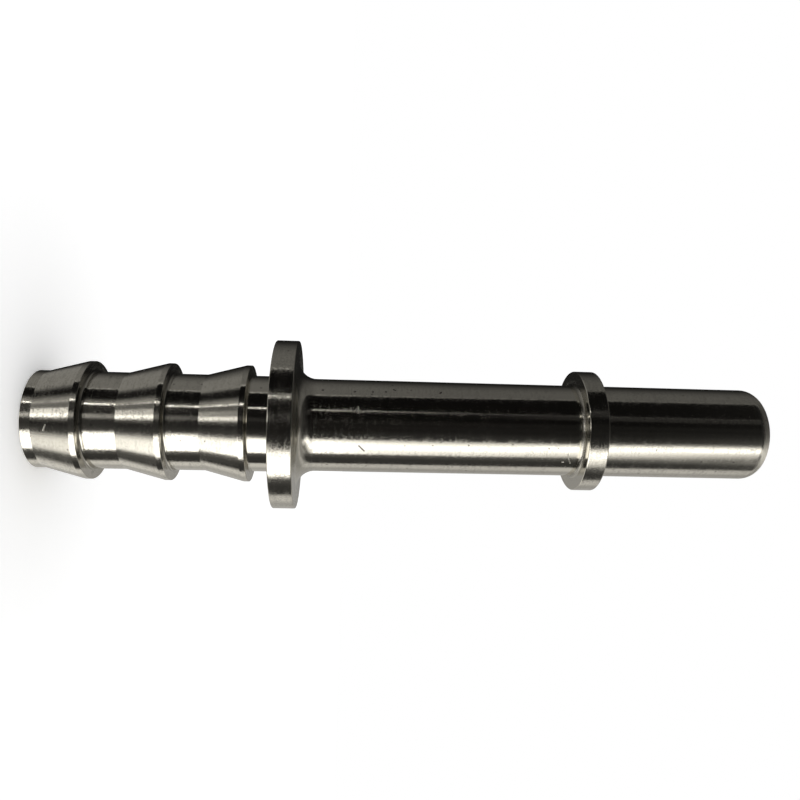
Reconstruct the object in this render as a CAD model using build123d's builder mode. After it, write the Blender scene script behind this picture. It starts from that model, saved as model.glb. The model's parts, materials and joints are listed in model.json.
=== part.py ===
from build123d import *
import os

# Hose barb tail: one piece turned from stainless steel bar. A hose is pushed over the
# barbs at the foot and stops at the flange; the beaded spigot at the head plugs into a
# quick connector. The part stands on its barb end: +Z runs up the axis to the nose, and
# the origin is the centre of the barb end face. Lengths are millimetres.

# Hose tail
stem_diameter = 9.8         # a hose of 10 mm bore slides on with a little room
crest_diameter = 11.9       # the barbs stretch it
barb_count = 3
barb_pitch = 7.8
barb_taper_length = 3.9     # cone from the stem up to the crest
barb_land_length = 0.55     # straight crest behind the cone
barb_root_bevel = 0.2       # where the square back of a barb meets the stem
lead_length = 1.0           # straight stem before the first barb
lead_edge = 0.06            # edge break round the barb end
neck_length = 2.45          # bare stem between the last barb and the flange

# Flange that stops the hose
flange_diameter = 17.2
flange_thickness = 2.3
flange_edge = 0.15
flange_fillet = 1.8         # sweep from the flange into the shank

# Shank and bead
shank_diameter = 9.49
shank_length = 28.7
bead_diameter = 12.5
bead_width = 2.0
bead_edge = 0.12
bead_fillet = 0.35

# Spigot
spigot_diameter = 9.49
spigot_length = 17.75       # from the bead to the end of the nose
nose_radius = 1.6
nose_flat = 0.14            # flat ring left round the mouth of the bore

# Bore
bore_diameter = 6.0
bore_chamfer = 0.3          # at the barb end

# Radii
stem_radius = stem_diameter / 2
crest_radius = crest_diameter / 2
flange_radius = flange_diameter / 2
shank_radius = shank_diameter / 2
bead_radius = bead_diameter / 2
spigot_radius = spigot_diameter / 2
bore_radius = bore_diameter / 2

# Heights above the barb end
barb_length = barb_taper_length + barb_land_length
barb_feet = [lead_length + index * barb_pitch for index in range(barb_count)]
barb_backs = [foot + barb_length for foot in barb_feet]
flange_height = barb_backs[-1] + neck_length
shank_height = flange_height + flange_thickness
bead_height = shank_height + shank_length
spigot_height = bead_height + bead_width
nose_height = spigot_height + spigot_length


def rings(height, radius):
    """The circular edges of the part being built at one height and of one radius."""
    circles = edges().filter_by(GeomType.CIRCLE)
    near = 1e-4
    return circles.filter_by(
        lambda ring: abs(ring.arc_center.Z - height) < near and abs(ring.radius - radius) < near
    )


def within(size, step):
    """A fillet's or bevel's size, kept to half of the step that it runs up."""
    return min(size, step / 2)


with BuildPart() as hose_barb_tail:
    # Plain round lands, one upon another: stem, flange, shank, bead and spigot.
    for radius, foot, length in (
        (stem_radius, 0, flange_height),
        (flange_radius, flange_height, flange_thickness),
        (shank_radius, shank_height, shank_length),
        (bead_radius, bead_height, bead_width),
        (spigot_radius, spigot_height, spigot_length),
    ):
        with BuildSketch(Plane.XY.offset(foot)):
            Circle(radius)
        extrude(amount=length)

    # Barbs on the stem: a cone that opens the hose, a short straight crest, a square back.
    for foot, back in zip(barb_feet, barb_backs):
        with BuildSketch(Plane.XZ):
            with BuildLine():
                Polyline(
                    (0, foot),
                    (stem_radius, foot),
                    (crest_radius, foot + barb_taper_length),
                    (crest_radius, back),
                    (0, back),
                    close=True,
                )
            make_face()
        revolve(axis=Axis.Z)

    # Inside corners.
    for back in barb_backs:
        chamfer(rings(back, stem_radius), within(barb_root_bevel, crest_radius - stem_radius))
    fillet(rings(shank_height, shank_radius), within(flange_fillet, flange_radius - shank_radius))
    fillet(rings(bead_height, shank_radius), within(bead_fillet, bead_radius - shank_radius))

    # Flow bore, right through.
    Hole(bore_radius)
    chamfer(rings(0, bore_radius), bore_chamfer)

    # Outside corners: fine edge breaks, and the full round of the nose.
    chamfer(rings(0, stem_radius), lead_edge)
    for height in (flange_height, shank_height):
        chamfer(rings(height, flange_radius), flange_edge)
    for height in (bead_height, spigot_height):
        chamfer(rings(height, bead_radius), bead_edge)
    nose_round = min(nose_radius, spigot_radius - bore_radius - nose_flat)
    fillet(rings(nose_height, spigot_radius), nose_round)

hose_barb_tail.part.label = "hose_barb_tail"

os.makedirs("parts", exist_ok=True)
export_step(hose_barb_tail.part, "parts/hose_barb_tail.step")
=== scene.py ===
import json
import math

import bpy
import numpy as np
from mathutils import Matrix, Vector


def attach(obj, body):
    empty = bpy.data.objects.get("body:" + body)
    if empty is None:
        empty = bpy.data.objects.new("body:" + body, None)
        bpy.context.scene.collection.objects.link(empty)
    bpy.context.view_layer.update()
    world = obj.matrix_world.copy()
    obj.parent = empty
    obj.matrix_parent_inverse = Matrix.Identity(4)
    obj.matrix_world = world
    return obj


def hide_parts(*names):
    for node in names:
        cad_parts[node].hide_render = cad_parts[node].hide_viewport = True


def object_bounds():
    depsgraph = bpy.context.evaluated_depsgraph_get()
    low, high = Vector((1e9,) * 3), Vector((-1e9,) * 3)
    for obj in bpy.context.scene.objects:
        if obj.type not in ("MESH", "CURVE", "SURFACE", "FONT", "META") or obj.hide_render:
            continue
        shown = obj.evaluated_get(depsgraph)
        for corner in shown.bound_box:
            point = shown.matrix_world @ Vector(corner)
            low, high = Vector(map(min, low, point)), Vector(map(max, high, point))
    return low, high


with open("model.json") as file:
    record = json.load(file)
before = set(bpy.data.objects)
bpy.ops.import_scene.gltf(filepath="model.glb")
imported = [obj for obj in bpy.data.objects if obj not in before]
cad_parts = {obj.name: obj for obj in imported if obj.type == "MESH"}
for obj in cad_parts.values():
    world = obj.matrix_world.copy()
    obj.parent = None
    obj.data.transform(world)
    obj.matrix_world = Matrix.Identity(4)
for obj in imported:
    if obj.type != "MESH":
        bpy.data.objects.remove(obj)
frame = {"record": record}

bl_info = {
    "name": "Hose barb tail",
    "version": (1, 0, 0),
    "blender": (4, 5, 0),
    "location": "3D View > Sidebar > Hose tail",
    "description": "A turned steel hose tail with three barbs and a beaded spigot, in a light tent",
    "category": "Add Mesh",
}

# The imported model, in metres: the axis is +Z and the barb end stands at height 0.
NODE = "hose_barb_tail"
BODY = "root"
MM = 0.001
BARBS = 3
CAD_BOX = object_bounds()
MOUNTS = {mount["name"]: mount for mount in frame["record"]["mounts"]}


def mount_diameter(name):
    """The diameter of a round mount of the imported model, in metres."""
    return 2 * MOUNTS[name]["dims"]["r_mm"] * MM


def length(label, note, metres):
    """A length property."""
    return bpy.props.FloatProperty(
        name=label, description=note, default=metres, min=0.0,
        precision=5, subtype="DISTANCE", unit="LENGTH",
    )


def turn(label, note, degrees):
    """An angle property, given here in degrees."""
    return bpy.props.FloatProperty(
        name=label, description=note, default=math.radians(degrees),
        subtype="ANGLE", unit="ROTATION",
    )


def number(label, note, value, highest=1.0):
    """A plain number from 0 up to a highest value."""
    return bpy.props.FloatProperty(
        name=label, description=note, default=value, min=0.0, max=highest, precision=3,
    )


def colour(label, note, value):
    """A linear colour property."""
    return bpy.props.FloatVectorProperty(
        name=label, description=note, default=value, size=3, min=0.0, max=1.0, subtype="COLOR",
    )


class TailSizes(bpy.types.PropertyGroup):
    """Sizes of the turned body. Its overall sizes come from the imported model."""

    stem_diameter: length("Stem diameter", "Bare stem between the barbs", 9.8 * MM)
    crest_diameter: length("Crest diameter", "Over the barbs", mount_diameter("hose_barb"))
    barb_pitch: length("Barb pitch", "From one barb to the next", 7.8 * MM)
    barb_taper: length("Barb taper", "Length of a barb's cone", 3.9 * MM)
    barb_land: length("Barb land", "Straight crest behind the cone", 0.55 * MM)
    lead_length: length("Lead", "Straight stem before the first barb", 1.0 * MM)
    flange_thickness: length("Flange thickness", "Along the axis", 2.3 * MM)
    shank_length: length("Shank length", "From the flange to the bead", 28.7 * MM)
    bead_diameter: length("Bead diameter", "Over the bead", 12.5 * MM)
    bead_width: length("Bead width", "Along the axis", 2.0 * MM)
    nose_round: length("Nose round", "Radius of the spigot's end", 1.6 * MM)
    flange_sweep: length("Flange sweep", "Fillet from the flange into the shank", 1.8 * MM)
    bead_sweep: length("Bead sweep", "Fillet from the shank into the bead", 0.35 * MM)
    root_round: length("Root round", "Where a barb's back meets the stem", 0.25 * MM)
    edge_round: length("Edge round", "Fine break on an outside edge", 0.12 * MM)
    crest_round: length("Crest round", "Break on a barb's crest", 0.06 * MM)
    bore_bevel: length("Bore bevel", "Bevel of the bore at the barb end", 0.3 * MM)
    tightest_round: length("Tightest round", "Where no other round is given", 0.04 * MM)
    arc_steps: bpy.props.IntProperty(
        name="Arc steps", description="Divisions of each rounded corner", default=12, min=2, max=24
    )
    around: bpy.props.IntProperty(
        name="Divisions around", description="Divisions of the full turn", default=256, min=32, max=288
    )


# ------------------------------------------------------------------ the turned body


def half_section(size):
    """Corners of the closed half section: radius, height and rounding radius of each.

    They run up the outside from the bore's mouth at the barb end to the nose, and back
    down the bore.
    """
    stem, crest = size.stem_diameter / 2, size.crest_diameter / 2
    spigot, bore = mount_diameter("spigot") / 2, mount_diameter("flow_bore") / 2
    flange, bead = CAD_BOX[1].x, size.bead_diameter / 2
    top = CAD_BOX[1].z
    flange_foot = MOUNTS["hose_stop"]["pos_m"][2]
    flange_head = flange_foot + size.flange_thickness
    bead_foot = flange_head + size.shank_length
    bead_head = bead_foot + size.bead_width
    edge, fine = size.edge_round, size.tightest_round

    corners = [(bore + size.bore_bevel, 0, fine), (stem, 0, size.crest_round)]
    feet = size.lead_length + size.barb_pitch * np.arange(BARBS)
    for foot in feet:
        crest_foot = foot + size.barb_taper
        back = crest_foot + size.barb_land
        corners += [
            (stem, foot, size.root_round),
            (crest, crest_foot, size.root_round),
            (crest, back, size.crest_round),
            (stem, back, size.root_round),
        ]
    corners += [
        (stem, flange_foot, fine),
        (flange, flange_foot, edge),
        (flange, flange_head, edge),
        (spigot, flange_head, size.flange_sweep),
        (spigot, bead_foot, size.bead_sweep),
        (bead, bead_foot, edge),
        (bead, bead_head, edge),
        (spigot, bead_head, fine),
        (spigot, top, size.nose_round),
        (bore, top, fine),
        (bore, size.bore_bevel, fine),
    ]
    return np.array(corners)


def rounded(corners, steps):
    """Points and outward normals of a closed section whose corners are rounded.

    Each side's outward normal is its direction turned a quarter turn clockwise. Where two
    sides with normals m and n meet, the arc's centre is the corner less
    r (m + n) / (1 + m . n), with r negative on an inside corner. The arc's normal turns
    evenly from m to n, and its points are the centre plus r times that normal.
    """
    points, radii = corners[:, :2], corners[:, 2]
    sides = np.roll(points, -1, axis=0) - points
    sides /= np.linalg.norm(sides, axis=1, keepdims=True)
    after = np.stack([sides[:, 1], -sides[:, 0]], axis=1)
    before = np.roll(after, 1, axis=0)
    dot = (before * after).sum(axis=1)
    cross = before[:, 0] * after[:, 1] - before[:, 1] * after[:, 0]
    bend = np.arctan2(cross, dot)
    reach = np.copysign(radii, bend)
    centres = points - (reach / (1 + dot))[:, None] * (before + after)
    start = np.arctan2(before[:, 1], before[:, 0])
    angles = start[:, None] + bend[:, None] * np.linspace(0, 1, steps + 1)
    normals = np.stack([np.cos(angles), np.sin(angles)], axis=2)
    arcs = centres[:, None, :] + reach[:, None, None] * normals
    return arcs.reshape(-1, 2), normals.reshape(-1, 2)


def revolved(name, section, normals, around):
    """A closed surface of revolution with exact normals.

    The section's point (r, z) goes to (r cos a, r sin a, z) at each of the evenly spaced
    angles a, and its normal turns with it. The faces join each point to the next point of
    the section and to the next angle, and both close on themselves.
    """
    angle = np.linspace(0, 2 * math.pi, around, endpoint=False)
    spin = np.stack([np.cos(angle), np.sin(angle)], axis=1)

    def carried(flat):
        across = flat[:, None, 0:1] * spin[None]
        up = np.broadcast_to(flat[:, None, 1:2], (len(flat), around, 1))
        return np.concatenate([across, up], axis=2).reshape(-1, 3)

    row = np.arange(len(section))[:, None] * around
    next_row = np.roll(row, -1, axis=0)
    column = np.arange(around)[None]
    next_column = np.roll(column, -1, axis=1)
    faces = np.stack(
        [row + column, row + next_column, next_row + next_column, next_row + column], axis=2
    ).reshape(-1, 4)
    mesh = bpy.data.meshes.new(name)
    mesh.from_pydata(carried(section).tolist(), [], faces.tolist())
    mesh.shade_smooth()
    mesh.normals_split_custom_set_from_vertices(carried(normals).tolist())
    piece = bpy.data.objects.new(name, mesh)
    bpy.context.scene.collection.objects.link(piece)
    return piece


# ------------------------------------------------------------------- shader writing


class Web:
    """The node tree of one material or world, emptied and written afresh."""

    def __init__(self, owner):
        owner.use_nodes = True
        self.tree = owner.node_tree
        self.tree.nodes.clear()

    def node(self, kind, settings=None, values=None, output=0):
        """Adds a node: its settings first, then its sockets' values or links. Gives one output."""
        made = self.tree.nodes.new(kind)
        for name, setting in (settings or {}).items():
            setattr(made, name, setting)
        for socket, value in (values or {}).items():
            if isinstance(value, Flow):
                self.tree.links.new(value.socket, made.inputs[socket])
            else:
                made.inputs[socket].default_value = value
        return Flow(self, made.outputs[output] if made.outputs else None)

    def blend(self, factor, first, second):
        """The first colour where the factor is 0, and the second where it is 1.

        A Mix node has its colours A and B at the inputs 6 and 7, and at the output 2.
        """
        return self.node(
            "ShaderNodeMix", {"data_type": "RGBA"}, {0: factor, 6: first, 7: second}, output=2
        )


class Flow:
    """An output socket with arithmetic: each operation adds its Math node."""

    def __init__(self, web, socket):
        self.web = web
        self.socket = socket

    def math(self, operation, *terms):
        """A Math node on the given terms."""
        return self.web.node("ShaderNodeMath", {"operation": operation}, dict(enumerate(terms)))

    def at_least(self, other):
        """The larger of the two."""
        return self.math("MAXIMUM", self, other)

    def __add__(self, other):
        return self.math("ADD", self, other)

    __radd__ = __add__

    def __sub__(self, other):
        return self.math("SUBTRACT", self, other)

    def __rsub__(self, other):
        return self.math("SUBTRACT", other, self)

    def __mul__(self, other):
        return self.math("MULTIPLY", self, other)

    __rmul__ = __mul__

    def __truediv__(self, other):
        return self.math("DIVIDE", self, other)

    def __rtruediv__(self, other):
        return self.math("DIVIDE", other, self)

    def __pow__(self, other):
        return self.math("POWER", self, other)

    def __rpow__(self, other):
        return self.math("POWER", other, self)

    def __abs__(self):
        return self.math("ABSOLUTE", self)

    def ramp(self, low, high, start=0.0, end=1.0):
        """Eases from start to end while the value goes from low to high."""
        return self.web.node(
            "ShaderNodeMapRange", {"interpolation_type": "SMOOTHSTEP"},
            {"Value": self, "From Min": low, "From Max": high, "To Min": start, "To Max": end},
        )

    def window(self, low, high, soft):
        """1 from low to high, easing to 0 over soft on each side."""
        return self.ramp(low - soft, low + soft) * self.ramp(high - soft, high + soft, 1.0, 0.0)


class TailFinish(bpy.types.PropertyGroup):
    """The turned steel."""

    steel: colour("Steel", "Bare steel", (0.57, 0.55, 0.497))
    fresh: colour("Fresh", "Steel of the bright worn nose rim", (0.7, 0.68, 0.62))
    # The grime colour also serves as painted shade in the inside corners at the barbs' backs and the
    # bead.
    grime: colour("Grime", "Dark oxide in pits and scratches", (0.10, 0.09, 0.08))
    polish: number("Polish", "Roughness of the clean cut", 0.12)
    torn: number("Torn", "Roughness where the tool tore the grain", 0.27)
    grain: length("Grain", "Depth of the grain", 0.0035 * MM)
    rings: length("Rings", "Depth of the tool marks", 0.002 * MM)


# Scratches and pits: height and turn of one end, height and turn of the other (mm and
# degrees), half width (mm), and how much grime is in it.
NICKS = (
    (31.87, 22.7, 31.88, 15.2, 0.07, 0.0),
    (32.06, -24.6, 32.57, -31.3, 0.08, 0.75),
    (52.97, -31.0, 53.38, -43.5, 0.06, 0.0),
    (52.55, -42.1, 52.65, -42.1, 0.08, 0.0),
    (2.61, -7.5, 2.38, -13.8, 0.06, 0.0),
    (28.32, 46.9, 28.42, 46.5, 0.09, 0.8),
    (31.50, 44.8, 31.60, 45.6, 0.09, 0.8),
    (33.30, 45.6, 33.36, 45.6, 0.08, 0.8),
    (34.60, 46.3, 34.66, 46.3, 0.09, 0.8),
    (35.40, 51.4, 35.62, 49.6, 0.08, 0.9),
    (40.05, 46.2, 40.22, 48.2, 0.10, 0.9),
)


def object_place(web, unit):
    """Object coordinates x, y and z as three values, counted in the given unit, and as a vector."""
    place = web.node("ShaderNodeTexCoord", output="Object")
    place = web.node("ShaderNodeVectorMath", {"operation": "SCALE"}, {0: place, "Scale": 1 / unit})
    parts = [web.node("ShaderNodeSeparateXYZ", values={0: place}, output=part) for part in range(3)]
    return *parts, place


def turned_steel(finish, size):
    """Bare steel as it comes off the lathe: rings of tool marks, torn grain, pits and nicks.

    Places are in mm. A ring of tool marks is a noise that runs quickly with the height plus
    0.83 of the radius, so that it also shows on the flange's faces, and slowly round the axis.
    """
    material = bpy.data.materials.new("turned_steel")
    web = Web(material)
    x, y, z, place = object_place(web, MM)
    radius = (x * x + y * y) ** 0.5
    slope_share = 0.83
    ring = z + slope_share * radius
    arc = radius * x.math("ARCTAN2", 0 - x, 0 - y)

    def noise(vector, scale, detail):
        """Noise about 0, with so many grains to a mm."""
        return web.node(
            "ShaderNodeTexNoise",
            values={"Vector": vector, "Scale": scale, "Detail": detail, "Roughness": 0.6},
        ) - 0.5

    def rings(per_mm, wander):
        """Tool rings, so many to a mm, that wander so much in one turn."""
        across = web.node(
            "ShaderNodeCombineXYZ",
            values={0: ring * per_mm, 1: x / radius * wander, 2: y / radius * wander},
        )
        return noise(across, 1.0, 2.0)

    def nick(low, low_turn, high, high_turn, half_width):
        """A capsule round the line between two points of the surface."""
        mm_per_degree = MOUNTS["spigot"]["dims"]["r_mm"] * math.radians(1)
        along, over = high - low, (high_turn - low_turn) * mm_per_degree
        reach = math.hypot(along, over)
        along, over = along / reach, over / reach
        up, side = z - low, arc - low_turn * mm_per_degree
        run = up * along + side * over
        off = side * along - up * over
        past = (abs(run - reach / 2) - reach / 2).at_least(0.0)
        deep, gone = 0.6 * half_width, 1.3 * half_width
        return ((past * past + off * off) ** 0.5).ramp(deep, gone, 1, 0)

    # Heights and radii of the body, in mm.
    stem = size.stem_diameter / 2 / MM
    bead = size.bead_diameter / 2 / MM
    pitch = size.barb_pitch / MM
    first_back = (size.lead_length + size.barb_taper + size.barb_land) / MM
    backs = [first_back + pitch * barb for barb in range(BARBS)]
    flange_foot = MOUNTS["hose_stop"]["pos_m"][2] / MM
    bead_foot = flange_foot + (size.flange_thickness + size.shank_length) / MM
    top = CAD_BOX[1].z / MM

    # Where the tool cut clean, where it tore, where the surface is duller or worn, and where corners
    # get painted shade.
    neck_cut = z.window(backs[-1] + 0.25, flange_foot - 0.05, 0.1)
    shank_cut = z.window(bead_foot - 2.5, bead_foot - 0.4, 0.15)
    bead_face = z.window(bead_foot - 0.05, bead_foot + 0.03, 0.02) * radius.ramp(stem + 0.3, stem + 0.5)
    clean = neck_cut + shank_cut + bead_face
    rims = radius.ramp(bead - 0.1, bead - 0.05) * z.ramp(flange_foot - 0.2, flange_foot + 0.1)
    # The fillet into the bead: rougher, and darkened with grime colour as painted shade in the corner.
    bead_corner_matte_and_shade = 0.5 * z.window(bead_foot - 0.35, bead_foot - 0.05, 0.05)
    nose_rim = z.ramp(top - 1.4, top - 1.1)
    # Painted shade: grime colour laid in the inside corner where each barb's back meets the stem.
    root_shade = sum(
        z.window(back + 0.03, back + 0.2, 0.06) * radius.ramp(stem + 0.03, stem + 0.08)
        for back in backs
    )
    ring_marks = z.window(bead_foot - 1.47, bead_foot - 1.39, 0.03)
    ring_marks = ring_marks + 0.6 * z.window(bead_foot - 1.88, bead_foot - 1.84, 0.03)

    fine = rings(5.0, 4.0)
    broad = rings(0.9, 0.7)
    grain = noise(place, 6.0, 1.0)
    coarse = noise(place, 1.1, 1.0)
    share = grain + 0.7 * fine + 0.3 * broad + 0.3 * coarse + 0.08 * rims - 0.25 * clean
    torn = share.ramp(-0.06, 0.22)

    cells = web.node("ShaderNodeTexVoronoi", values={"Vector": place, "Scale": 0.8})
    pits = cells.ramp(0.05, 0.10, 1, 0)
    scratch = 0
    # Grime colour: oxide in pits and nicks, and painted shade in the barbs' root corners and the bead's
    # fillet.
    grime_and_corner_shade = 0.6 * pits + 0.4 * root_shade + 0.6 * bead_corner_matte_and_shade
    for low, low_turn, high, high_turn, half_width, grime in NICKS:
        mark = nick(low, low_turn, high, high_turn, half_width)
        scratch = mark + scratch
        grime_and_corner_shade = grime_and_corner_shade + grime * mark

    scratch_rough, corner_rough, rim_rough = 0.3, 0.25, 0.42
    roughness = finish.polish + (finish.torn - finish.polish) * torn + scratch_rough * scratch
    roughness = roughness + corner_rough * bead_corner_matte_and_shade + rim_rough * nose_rim
    scratch_depth, ring_depth = 0.012, 0.004
    height = finish.grain / MM * grain + finish.rings / MM * fine
    height = height - scratch_depth * scratch - ring_depth * ring_marks
    normal = web.node("ShaderNodeBump", values={"Strength": 1.0, "Distance": MM, "Height": height})

    def paint(linear, shade=1.0):
        return (*(shade * part for part in linear), 1.0)

    cut = web.blend(torn, paint(finish.steel), paint(finish.steel, 0.9))
    bare = web.blend(nose_rim, cut, paint(finish.fresh))
    surface = web.node(
        "ShaderNodeBsdfPrincipled",
        values={
            "Base Color": web.blend(grime_and_corner_shade.math("MINIMUM", grime_and_corner_shade, 1.0), bare, paint(finish.grime)),
            "Metallic": 1.0,
            "Roughness": roughness,
            "Normal": normal,
            "Anisotropic": 0.74,
            "Anisotropic Rotation": 0.25,
        },
    )
    web.node("ShaderNodeOutputMaterial", values={"Surface": surface})
    return material


class TAIL_OT_body(bpy.types.Operator):
    """Turn the body and give it its steel"""

    bl_idname = "hose_tail.body"
    bl_label = "Turned body"

    def execute(self, context):
        size = context.scene.tail_sizes
        section, normals = rounded(half_section(size), size.arc_steps)
        body = revolved("turned_body", section, normals, size.around)
        body.data.materials.append(turned_steel(context.scene.tail_finish, size))
        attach(body, BODY)
        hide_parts(NODE)
        return {"FINISHED"}


# ------------------------------------------------------------------------ the stage


class TailStage(bpy.types.PropertyGroup):
    """Camera, floor and light tent."""

    camera_distance: length("Camera distance", "From the axis", 75.103 * MM)
    camera_height: length("Camera height", "Above the floor", 31.1935 * MM)
    yaw: turn("Yaw", "Camera turned towards the nose", 3.8653)
    pitch: turn("Pitch", "Camera tipped up in its own picture", 2.1201)
    roll: turn("Roll", "Camera rolled about its line of sight", -1.3062)
    focal_length: bpy.props.FloatProperty(
        name="Focal length", description="On a 36 mm sensor", default=32.465, min=1.0, unit="CAMERA"
    )
    floor_size: length("Floor size", "Half its side", 3.0)
    tent_radius: length("Tent radius", "From the object to the cloth", 0.6)


def stand_camera(stage):
    """A camera that looks along +Y with +Z to its right, then turned, tipped and rolled."""
    data = bpy.data.cameras.new("camera")
    data.sensor_width = 36.0
    data.lens = stage.focal_length
    data.clip_start = 0.001
    camera = bpy.data.objects.new("camera", data)
    bpy.context.scene.collection.objects.link(camera)
    right, up, back = Vector((0, 0, 1)), Vector((-1, 0, 0)), Vector((0, -1, 0))
    level = Matrix((right, up, back)).transposed()
    aim = (
        level
        @ Matrix.Rotation(-stage.yaw, 3, "Y")
        @ Matrix.Rotation(stage.pitch, 3, "X")
        @ Matrix.Rotation(-stage.roll, 3, "Z")
    )
    place = Vector((0, -stage.camera_distance, stage.camera_height))
    camera.matrix_world = Matrix.Translation(place) @ aim.to_4x4()
    bpy.context.scene.camera = camera


def plain_floor(stage):
    """A pale floor at height 0: plain light grey, white to the camera away from the shadow."""
    half = stage.floor_size
    mesh = bpy.data.meshes.new("floor")
    corners = [(-half, -half, 0), (half, -half, 0), (half, half, 0), (-half, half, 0)]
    mesh.from_pydata(corners, [], [(0, 1, 2, 3)])
    floor = bpy.data.objects.new("floor", mesh)
    bpy.context.scene.collection.objects.link(floor)
    material = bpy.data.materials.new("floor_white")
    web = Web(material)
    seen = web.node("ShaderNodeLightPath", output="Is Camera Ray")
    pale, extra = 0.85, 0.6
    shade = pale + extra * seen
    white = web.node("ShaderNodeCombineColor", values={0: shade, 1: shade, 2: shade})
    surface = web.node("ShaderNodeBsdfDiffuse", values={"Color": white})
    web.node("ShaderNodeOutputMaterial", values={"Surface": surface})
    mesh.materials.append(material)
    floor.visible_glossy = False


# The tent's panels. In each, a is the azimuth in degrees, 0 in front (-Y) and growing to the
# side of -X, and e is the elevation in degrees, growing towards the nose (+Z). Each gives a
# brightness in which 1 is white paper, and its edges are ramps as wide as they look soft.


def dark_room(a, e):
    """What shows between the panels: nearly black, a little lighter up and down."""
    room = 0.006 + e.ramp(22, 75, 0, 0.04) + e.ramp(-45, -8, 0.008, 0)
    ceiling = 0.02 * e.ramp(60, 75) + 0.07 * a.window(80, 128, 15) * e.ramp(36, 52)
    return room + ceiling


def grey_wall(a, e, low, lean):
    """The grey cloth on the side of -X, which fades behind, and the pale hem of its near edge."""
    past = a - (76.9 + e.ramp(-5, 30, 0, 6) + 2 * low)
    near_edge = past.ramp(-1.5 - 5 * low - 2 * lean, 1.5 + 7 * low + 2 * lean)
    fade = a.ramp(101 + 39 * low, 152 + 16 * low, 1, 0.06)
    cloth = near_edge * fade * e.ramp(-50, 15, 0.305, 0.13) * e.ramp(25, 70, 1, 0.2)
    hem = past.window(0, 2.2, 0.7) * e.ramp(-7, 5, 0.42, 0.09) * (1 - low)
    return cloth + hem


def thin_lamp(a, e, lean):
    """A thin bright lamp that runs along the part, the fold of cloth behind it and a faint veil.

    Its azimuth is 36.4, and grows below an elevation of -20. It is dimmer where the
    flange's land reflects it.
    """
    land = e.window(-5.9, -3.9, 0.4)
    off = a - (36.4 - 1.2 * land + 0.22 * (-20 - e).at_least(0.0))
    lamp = off.window(-0.6, 0.6, 0.5) * (e.ramp(-14, 3, 6.3, 0.38) + e.ramp(0, 18, 0, -0.34))
    lamp = lamp * e.ramp(-52, -24, 0.05, 1) * (1 - 0.8 * land)
    fold = off.ramp(-2.5 - 7 * e.ramp(-56, -44, 1, 0), 0.5)
    fold = fold * off.ramp(1, 8 + 13 * e.ramp(-34, -6, 1, 0), 1, 0) * e.ramp(-28, -11, 0.43, 0)
    veil = a.window(19, 40, 5) * e.ramp(-60, -14, 0.2, 0.022) * e.ramp(-14, -8, 1, 0)
    sheen = 0.03 * a.window(26, 38.5, 3 - 1.5 * lean) * e.ramp(10, 22) * e.ramp(33, 40, 1, 0)
    return lamp + fold + veil + sheen


def low_window(a, e):
    """A window in front and below, with its soft sill and the light that it spills."""
    sill = a.window(-6, 2, 5) * e.ramp(-60, -14, 0.12, 0.01)
    pane = a.ramp(0.2, 7.8) * (a - e.ramp(-50, -40, 2, 0)).ramp(9.5, 17.5, 1, 0)
    pane = pane * (e.ramp(-48, -8, 1.6, 0.008) + e.ramp(-52, -38, 0.8, 0))
    spill = a.window(16.5, 27.5, 2.4) * e.ramp(-62, -32, 1.5, 0)
    return sill + pane + spill


def softbox_edges(e, low_end):
    """The azimuths of the softbox's near and far edges."""
    near = -36.3 + 8.2 * e.ramp(-38, -27) * e.ramp(-17, -8, 1, 0) + 1.4 * e.ramp(15, 24)
    near = near - 5 * e.ramp(-52, -36, 1, 0) - 20 * e.ramp(32, 60)
    far = -73.6 + 0.9 * e.ramp(-12, -2, 1, 0) - 7.5 * low_end
    return near, far


def softbox(a, e, near, far, low, lean, crook):
    """The large bright box on the side of +X, brightest in its middle."""
    blur = e.ramp(-46, -32, 1, 0)
    haze = e.ramp(15, 40)
    core = (a - 12 * lean).window(-60, -48, 6).at_least(e.ramp(-4, 2, 1, 0))
    box = 1.5 + 1.5 * core - 2.05 * e.ramp(-58, -22, 1, 0)
    box = box * (1 - 0.25 * a.window(-41, -38.5, 1) * (1 - low))
    box = box * (a - near).ramp(-5 - 9 * blur - 5 * haze, 4.5 + 6 * blur + 8 * haze, 1, 0)
    far_start = far - 3 - 3 * lean - 6 * blur + 14 * crook
    far_end = far + 3 + 23 * lean + 6 * blur + 14 * crook
    top = 48 - 0.6 * (a + 40)
    return box * a.ramp(far_start, far_end) * (e - top).ramp(-8, 8, 1, 0)


def softbox_glow(a, e, near, far, low, crook):
    """The light that the box throws on the cloth beside it, and in the gap beyond it."""
    wide = 0.03 * (a - near).ramp(4, 38, 1, 0) * (1 + e.ramp(-24, -8, 1.2, 0) + 3 * crook)
    close = (0.05 + 0.07 * e.ramp(15, 28)) * (a - near).ramp(-4, 12, 1, 0)
    gap = a.window(-104, -76, 2) * (0.045 + 0.05 * low + e.ramp(29, 46, 0, 0.25))
    return (wide + close) * (a - far).ramp(-18, 0) + gap


def pale_wall(a, e, low, lean):
    """The pale cloth behind on the side of +X, brightest near its edge."""
    soft = e.ramp(-40, -16, 1, 0)
    cloth = (a + 108.5 - 3 * lean + 3.5 * soft).ramp(-3.5 - 11 * soft, 3.5 + 5 * soft, 1, 0)
    cloth = cloth * (0.43 + 0.27 * a.window(-128 - 25 * low, -106, 8)) * e.ramp(-12, 0, 1.3, 1.03)
    cloth = cloth * (1 - 0.3 * a.ramp(-170, -158, 1, 0) * e.ramp(0, 12, 1, 0))
    return cloth * (1 - e.ramp(45, 65) * a.ramp(-165, -145, 1, 0)) * e.ramp(27, 37, 1, 0.78)


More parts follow.
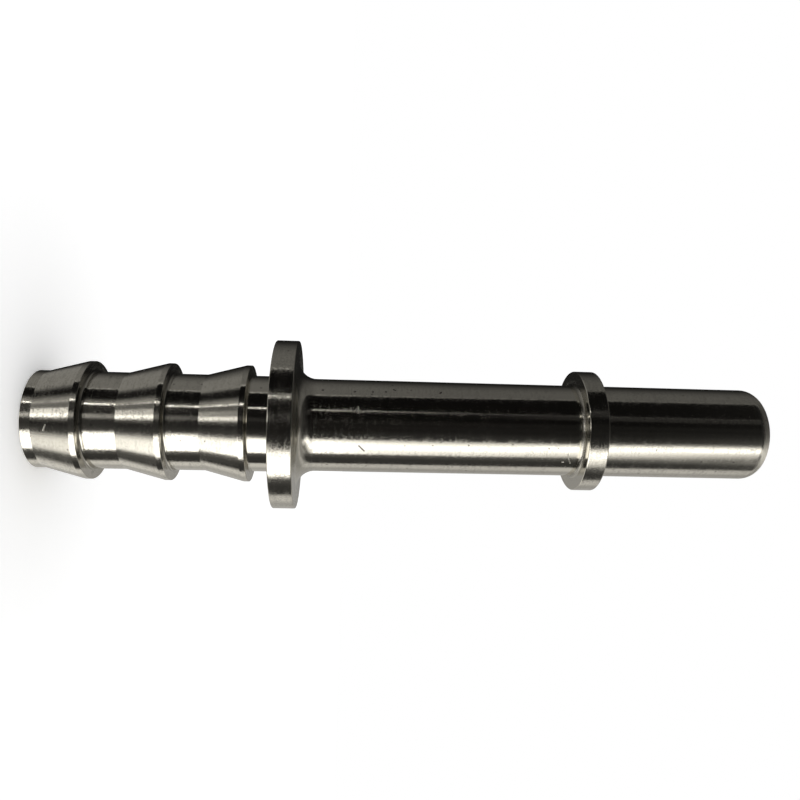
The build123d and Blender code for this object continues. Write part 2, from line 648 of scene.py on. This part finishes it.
def tent_glow(a, e):
    """Brightness of the tent's cloth at azimuth a and elevation e: the sum of its panels.

    The window and the softbox fade out straight below.
    """
    low = e.ramp(-38, -24, 1, 0)
    lean = e.ramp(8, 30)
    crook = e.ramp(24, 40) * e.ramp(40, 54, 1, 0.2)
    near, far = softbox_edges(e, e.ramp(-48, -24, 1, 0))
    lit = low_window(a, e) + softbox(a, e, near, far, low, lean, crook)
    glow = dark_room(a, e) + grey_wall(a, e, low, lean) + thin_lamp(a, e, lean)
    glow = glow + lit * e.ramp(-80, -62) + softbox_glow(a, e, near, far, low, crook)
    return glow + pale_wall(a, e, low, lean)


def light_tent(stage):
    """A dome of cloth round the object, seen only in its polish.

    A point of the dome at azimuth a and elevation e is the centre plus the radius times
    (-sin a cos e, -cos a cos e, sin e).
    """
    around, up = 72, 36
    azimuth = np.linspace(-math.pi, math.pi, around + 1)[None]
    elevation = np.linspace(-math.pi / 2, math.pi / 2, up + 1)[:, None]
    unit = np.stack(
        [
            -np.sin(azimuth) * np.cos(elevation),
            -np.cos(azimuth) * np.cos(elevation),
            np.sin(elevation) + 0 * azimuth,
        ],
        axis=2,
    )
    middle = CAD_BOX[1].z / 2
    points = (stage.tent_radius * unit + np.array([0, 0, middle])).reshape(-1, 3)
    corner = np.arange(up)[:, None] * (around + 1) + np.arange(around)[None]
    above = corner + around + 1
    faces = np.stack([corner, above, above + 1, corner + 1], axis=2)
    mesh = bpy.data.meshes.new("light_tent")
    mesh.from_pydata(points.tolist(), [], faces.reshape(-1, 4).tolist())
    tent = bpy.data.objects.new("light_tent", mesh)
    bpy.context.scene.collection.objects.link(tent)
    material = bpy.data.materials.new("tent_cloth")
    web = Web(material)
    x, y, z, _ = object_place(web, 1.0)
    up_share = (z - middle) / stage.tent_radius
    a = x.math("ARCTAN2", 0 - x, 0 - y) * math.degrees(1)
    e = x.math("ARCSINE", up_share) * math.degrees(1)
    surface = web.node(
        "ShaderNodeEmission", values={"Color": (1.0, 0.98, 0.93, 1.0), "Strength": tent_glow(a, e)}
    )
    web.node("ShaderNodeOutputMaterial", values={"Surface": surface})
    mesh.materials.append(material)
    tent.visible_camera = False
    tent.visible_diffuse = False
    tent.visible_shadow = False
    tent.visible_transmission = False


def white_world():
    """White to the camera, to polish and to glass, and plain soft light to the floor."""
    world = bpy.data.worlds.new("studio")
    bpy.context.scene.world = world
    web = Web(world)
    path = {
        name: web.node("ShaderNodeLightPath", output=name)
        for name in ("Is Camera Ray", "Is Glossy Ray", "Is Transmission Ray")
    }
    seen = path["Is Camera Ray"].at_least(path["Is Glossy Ray"]).at_least(path["Is Transmission Ray"])
    light = 0.75
    surface = web.node(
        "ShaderNodeBackground", values={"Color": (1, 1, 1, 1), "Strength": light + (1 - light) * seen}
    )
    web.node("ShaderNodeOutputWorld", values={"Surface": surface})


class TAIL_OT_stage(bpy.types.Operator):
    """Set the camera, the floor and the light tent"""

    bl_idname = "hose_tail.stage"
    bl_label = "Stage"

    def execute(self, context):
        stage = context.scene.tail_stage
        stand_camera(stage)
        plain_floor(stage)
        light_tent(stage)
        white_world()
        context.scene.view_settings.view_transform = "Standard"
        return {"FINISHED"}


class TAIL_PT_panel(bpy.types.Panel):
    """Lists the operators and their settings"""

    bl_label = "Hose tail"
    bl_space_type = "VIEW_3D"
    bl_region_type = "UI"
    bl_category = "Hose tail"

    def draw(self, context):
        for group in ("tail_sizes", "tail_finish", "tail_stage"):
            box = self.layout.box()
            settings = getattr(context.scene, group)
            for name in settings.__annotations__:
                box.prop(settings, name)
        for operator in (TAIL_OT_body, TAIL_OT_stage):
            self.layout.operator(operator.bl_idname)


GROUPS = {"tail_sizes": TailSizes, "tail_finish": TailFinish, "tail_stage": TailStage}
CLASSES = (*GROUPS.values(), TAIL_OT_body, TAIL_OT_stage, TAIL_PT_panel)


def register():
    for made in CLASSES:
        bpy.utils.register_class(made)
    for name, group in GROUPS.items():
        setattr(bpy.types.Scene, name, bpy.props.PointerProperty(type=group))


def unregister():
    for name in GROUPS:
        delattr(bpy.types.Scene, name)
    for made in reversed(CLASSES):
        bpy.utils.unregister_class(made)


def main():
    """Builds the part and its stage."""
    register()
    bpy.ops.hose_tail.stage()
    bpy.ops.hose_tail.body()


if __name__ == "__main__":
    main()
